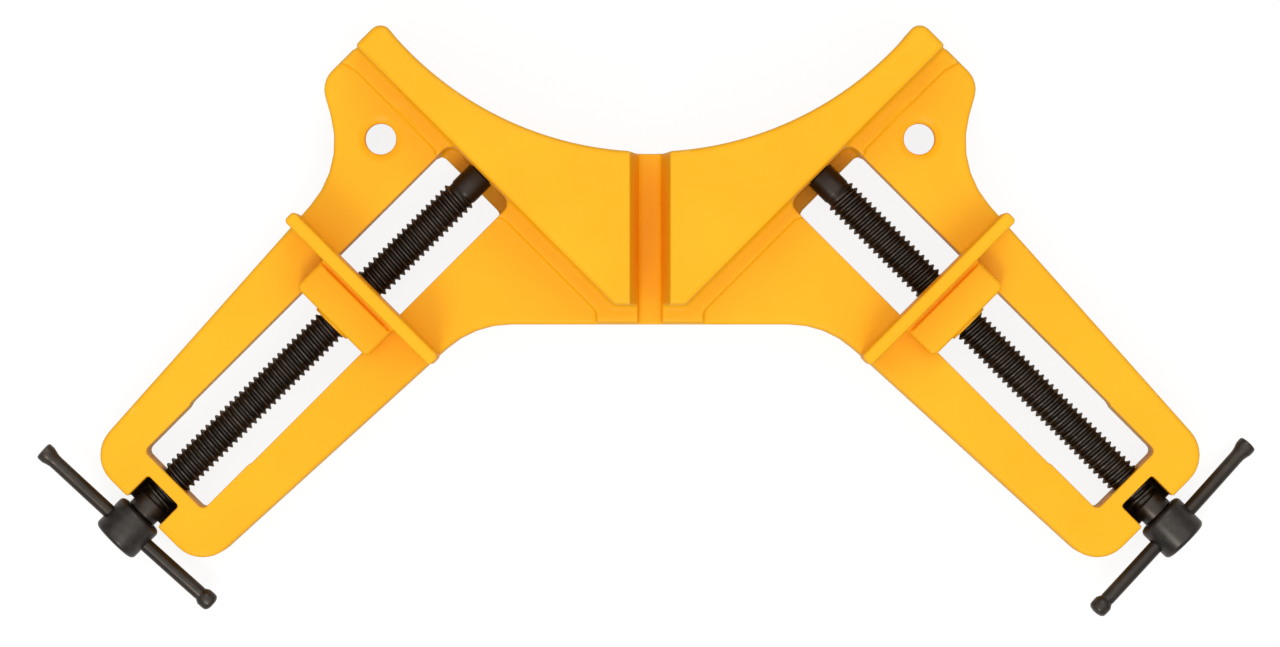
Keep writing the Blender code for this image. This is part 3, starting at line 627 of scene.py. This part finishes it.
def thread_mesh(tree, material):
    """Run the tree once on an empty host and keep the plain mesh."""
    host = bpy.data.objects.new("thread host", bpy.data.meshes.new("thread host"))
    bpy.context.scene.collection.objects.link(host)
    step = host.modifiers.new("thread", "NODES")
    step.node_group = tree
    length = THREAD_STOP - THREAD_START
    values = {
        "Turns": length / THREAD_PITCH, "Length": length,
        "Pitch Radius": THREAD_ROOT_R - THREAD_SUNK, "Root Half": THREAD_ROOT_HALF,
        "Crest Half": THREAD_CREST_HALF, "Depth": THREAD_R - THREAD_ROOT_R + THREAD_SUNK,
        "Fade": THREAD_FADE / length, "Steps": THREAD_TURN_STEPS, "Material": material,
    }
    for item in tree.interface.items_tree:
        if item.in_out == "INPUT" and item.name in values:
            step[item.identifier] = values[item.name]
    bpy.context.view_layer.update()
    graph = bpy.context.evaluated_depsgraph_get()
    mesh = bpy.data.meshes.new_from_object(host.evaluated_get(graph))
    mesh.transform(Matrix.Translation((0, THREAD_START, 0)) @ Matrix.Rotation(-math.pi / 2, 4, "X"))
    host.modifiers.remove(step)
    bpy.data.objects.remove(host, do_unlink=True)
    return mesh


def one_piece(name, meshes, place, material):
    """Join meshes made on the arm's axis into one object at the origin."""
    shape = bmesh.new()
    for mesh in meshes:
        shape.from_mesh(mesh)
    bmesh.ops.transform(shape, matrix=place, verts=shape.verts)
    joined = bpy.data.meshes.new(name)
    shape.to_mesh(joined)
    shape.free()
    for face in joined.polygons:
        face.material_index = 0
    joined.materials.clear()
    joined.materials.append(material)
    joined.shade_smooth()
    joined.set_sharp_from_angle(angle=math.radians(38))
    piece = bpy.data.objects.new(name, joined)
    bpy.context.scene.collection.objects.link(piece)
    return piece


JOURNAL_R = 0.0030
NOSE_R = 0.0038
NECK_R = 0.0042
STUB_R = 0.0036
RING_SEAT_R = 0.0024
COLLAR_START = 0.1212
COLLAR_LENGTH = 0.0097
GAP = 0.0003
CHAMFER = 0.0005
WASHER_THICK = 0.0010
RING_THICK = 0.0008
JOURNAL_TAIL = 0.0012
TURNED_EDGE = 0.00022

ring_front = -FENCE_WALL - 2 * GAP - WASHER_THICK
ring_back = ring_front - RING_THICK - 2 * GAP
journal_end = ring_back - JOURNAL_TAIL
stub_end = COLLAR_START + COLLAR_LENGTH - GAP
spindle_profile = [(0, journal_end)] + eased([
    (0.0004, journal_end), (JOURNAL_R - GAP, journal_end), (JOURNAL_R, journal_end + GAP),
    (JOURNAL_R, ring_back), (RING_SEAT_R, ring_back), (RING_SEAT_R, ring_front),
    (JOURNAL_R, ring_front), (JOURNAL_R, 2 * GAP), (NOSE_R, 2 * GAP),
    (NOSE_R, THREAD_START - CHAMFER), (THREAD_ROOT_R, THREAD_START),
    (THREAD_ROOT_R, THREAD_STOP), (NECK_R, THREAD_STOP + CHAMFER),
    (NECK_R, COLLAR_START - GAP), (STUB_R, COLLAR_START - GAP),
    (STUB_R, stub_end - 2 * GAP), (STUB_R - 2 * GAP, stub_end), (0.0004, stub_end),
], TURNED_EDGE) + [(0, stub_end)]
thread = thread_tree()
for side in ("left", "right"):
    steel = black_steel(
        side + " screw steel", side, (0.0085, 0.0058, 0.0042, 1), (0.020, 0.0135, 0.0095, 1),
        (0.070, 0.056, 0.045, 1), 0.0041, 0.0044
    )
    core = turned_mesh(side + " spindle", spindle_profile)
    spindle = one_piece(side + "_threaded_screw", [core, thread_mesh(thread, steel)],
                        arm_matrix(side), steel)
    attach(spindle, side + "_spindle")
    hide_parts(side + "_lead_screw")


# Collars: short turned steel rings pressed on the spindle's stub and cross-drilled with it for
# the bar. Their corners are tumbled round, and they are blackened like the screws.
COLLAR_R = 0.0064
COLLAR_ROUND = 0.0012
COLLAR_ROUND_STEPS = 8
MOUTH_ROUND = 0.00022
COLLAR_BORE_R = 0.00375
COLLAR_MIDDLE = COLLAR_START + COLLAR_LENGTH / 2
BAR_HOLE_R = 0.0022
DRILL_STEPS = 48
BAR_SKEW = math.radians(2.2)
BAR_LIFT = math.radians(6.0)


def bar_matrix(skew):
    """Lies a rod made along +Y across the collar, lifted at one end and skewed in its hole."""
    lift = Matrix.Rotation(-BAR_LIFT, 4, "Y")
    turn = Matrix.Rotation(-math.pi / 2 + skew, 4, "Z")
    return Matrix.Translation((0, COLLAR_MIDDLE, 0)) @ lift @ turn


def collar_mesh(name):
    """Turned ring with tumbled corners and an eased cross hole."""
    collar_end = COLLAR_START + COLLAR_LENGTH
    outline = [(COLLAR_BORE_R, COLLAR_START + GAP)]
    outline += [(COLLAR_BORE_R + GAP, COLLAR_START)]
    quarter = [math.pi / 2 * step / COLLAR_ROUND_STEPS for step in range(COLLAR_ROUND_STEPS + 1)]
    for turn in quarter:
        outline.append((COLLAR_R - COLLAR_ROUND * (1 - math.sin(turn)),
                        COLLAR_START + COLLAR_ROUND * (1 - math.cos(turn))))
    for turn in quarter:
        outline.append((COLLAR_R - COLLAR_ROUND * (1 - math.cos(turn)),
                        collar_end - COLLAR_ROUND * (1 - math.sin(turn))))
    outline += [(COLLAR_BORE_R + GAP, collar_end), (COLLAR_BORE_R, collar_end - GAP)]
    outline.append(outline[0])
    mesh = turned_mesh(name, outline)
    shape = bmesh.new()
    shape.from_mesh(mesh)
    bmesh.ops.remove_doubles(shape, verts=shape.verts, dist=1e-7)
    bmesh.ops.recalc_face_normals(shape, faces=shape.faces)
    shape.to_mesh(mesh)
    shape.free()
    ring = bpy.data.objects.new(name, mesh)
    drill_half = 2 * COLLAR_R
    drill_mesh = turned_mesh("drill", [
        (0, -drill_half), (BAR_HOLE_R, -drill_half), (BAR_HOLE_R, drill_half), (0, drill_half),
    ], DRILL_STEPS)
    drill_mesh.transform(bar_matrix(0))
    drill = bpy.data.objects.new("drill", drill_mesh)
    for item in (ring, drill):
        bpy.context.scene.collection.objects.link(item)
    bore = ring.modifiers.new("cross hole", "BOOLEAN")
    bore.object = drill
    bore.operation = "DIFFERENCE"
    bore.solver = "EXACT"
    soften = ring.modifiers.new("eased mouth", "BEVEL")
    soften.width = MOUTH_ROUND
    soften.segments = 3
    soften.limit_method = "ANGLE"
    soften.angle_limit = math.radians(50)
    bpy.context.view_layer.update()
    graph = bpy.context.evaluated_depsgraph_get()
    result = bpy.data.meshes.new_from_object(ring.evaluated_get(graph))
    for item in (ring, drill):
        bpy.data.objects.remove(item, do_unlink=True)
    return result


for side in ("left", "right"):
    collar_steel = black_steel(
        side + " collar steel", side, (0.0130, 0.0118, 0.0115, 1), (0.019, 0.017, 0.016, 1),
        (0.035, 0.033, 0.031, 1), 0.0060, 0.0066
    )
    collar = one_piece(side + "_turned_collar", [collar_mesh(side + " collar")],
                       arm_matrix(side), collar_steel)
    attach(collar, side + "_spindle")
    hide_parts(side + "_collar")


# Tommy bars: drawn steel rod, pushed through the loose cross hole, one end upset to a flat-ended
# knob before it goes in and the other peened to a ball after. Each has taken a slight bend in use.
BAR_R = 0.00180
BAR_LENGTH = 0.0577
KNOB_R = 0.0024
BAR_BEND = 0.00020
BEND_CENTRED = 0.35
BAR_RINGS = 40
BAR_STEPS = 48


def bar_profile():
    """Radius along the bar, from the flat-ended knob at -half to the ball at +half."""
    half = BAR_LENGTH / 2
    flat_knob = [
        (0, -half + 0.0002), (0.0011, -half + 0.0001), (0.0019, -half), (0.00228, -half + 0.0002),
        (KNOB_R, -half + 0.0007), (KNOB_R, -half + 0.0015), (0.00234, -half + 0.0021),
        (0.00212, -half + 0.0028), (0.00196, -half + 0.0034), (0.00184, -half + 0.0040),
        (BAR_R, -half + 0.0050),
    ]
    ball = [
        (BAR_R, half - 0.0100), (BAR_R, half - 0.0046), (0.00174, half - 0.0041),
        (0.00205, half - 0.0036), (0.00238, half - 0.0030), (KNOB_R, half - 0.0023),
        (KNOB_R, half - 0.0015), (0.00230, half - 0.0007), (0.0018, half - 0.0002),
        (0.0012, half), (0.0009, half - 0.0001), (0.0006, half - 0.0005), (0, half - 0.0006),
    ]
    start = flat_knob[-1][1]
    stop = ball[0][1]
    shank = []
    for step in range(1, BAR_RINGS):
        shank.append((BAR_R, start + (stop - start) * step / BAR_RINGS))
    return flat_knob + shank + ball


for side, flat_end in (("left", 1), ("right", -1)):
    rod = turned_mesh(side + " bar", bar_profile(), BAR_STEPS)
    rod.transform(Matrix.Rotation(math.pi if flat_end > 0 else 0, 4, "X"))
    half_length = BAR_LENGTH / 2
    for vertex in rod.vertices:
        share = vertex.co.y / half_length
        vertex.co.x += BAR_BEND * (share * share - BEND_CENTRED)
    bar_steel = black_steel(
        side + " bar steel", side, (0.0140, 0.0120, 0.0105, 1), (0.030, 0.0215, 0.0150, 1),
        (0.040, 0.034, 0.030, 1), 0.010, 0.030
    )
    bar = one_piece(side + "_bent_bar", [rod], arm_matrix(side) @ bar_matrix(BAR_SKEW), bar_steel)
    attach(bar, side + "_bar")
    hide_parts(side + "_tommy_bar")


# Hidden hardware: keeper plates with two countersunk screws each under the jaws, and a washer and
# an open spring ring on each journal inside the fence. All are zinc plated steel as bought.
def zinc_plate():
    """Bright zinc plate with a faint blue passivation and fine scratches."""
    material = bpy.data.materials.new("zinc plate")
    material.use_nodes = True
    shader = material.node_tree.nodes["Principled BSDF"]
    add, join = node_maker(material.node_tree)
    place = add("ShaderNodeTexCoord")
    cloud = add("ShaderNodeTexNoise")
    cloud.inputs["Scale"].default_value = 420.0
    cloud.inputs["Detail"].default_value = 4.0
    join(place, "Object", cloud, "Vector")
    tint = add("ShaderNodeValToRGB")
    tint.color_ramp.elements[0].color = (0.47, 0.49, 0.52, 1)
    tint.color_ramp.elements[1].color = (0.70, 0.70, 0.68, 1)
    join(cloud, "Fac", tint, "Fac")
    join(tint, "Color", shader, "Base Color")
    stretch = add("ShaderNodeMapping")
    stretch.inputs["Scale"].default_value = (3000, 180, 3000)
    stretch.inputs["Rotation"].default_value = (0, 0, 0.6)
    join(place, "Object", stretch, "Vector")
    lines = add("ShaderNodeTexNoise")
    lines.inputs["Scale"].default_value = 1.0
    join(stretch, "Vector", lines, "Vector")
    scratch = add("ShaderNodeBump")
    scratch.inputs["Strength"].default_value = 0.25
    scratch.inputs["Distance"].default_value = 0.00003
    join(lines, "Fac", scratch, "Height")
    join(scratch, "Normal", shader, "Normal")
    gloss = add("ShaderNodeMapRange")
    gloss.inputs["To Min"].default_value = 0.22
    gloss.inputs["To Max"].default_value = 0.45
    join(lines, "Fac", gloss, "Value")
    join(gloss, "Result", shader, "Roughness")
    shader.inputs["Metallic"].default_value = 1.0
    return material


zinc = zinc_plate()
for name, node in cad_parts.items():
    if any(word in name for word in ("keeper", "washer", "ring")):
        node.data.materials.clear()
        node.data.materials.append(zinc)
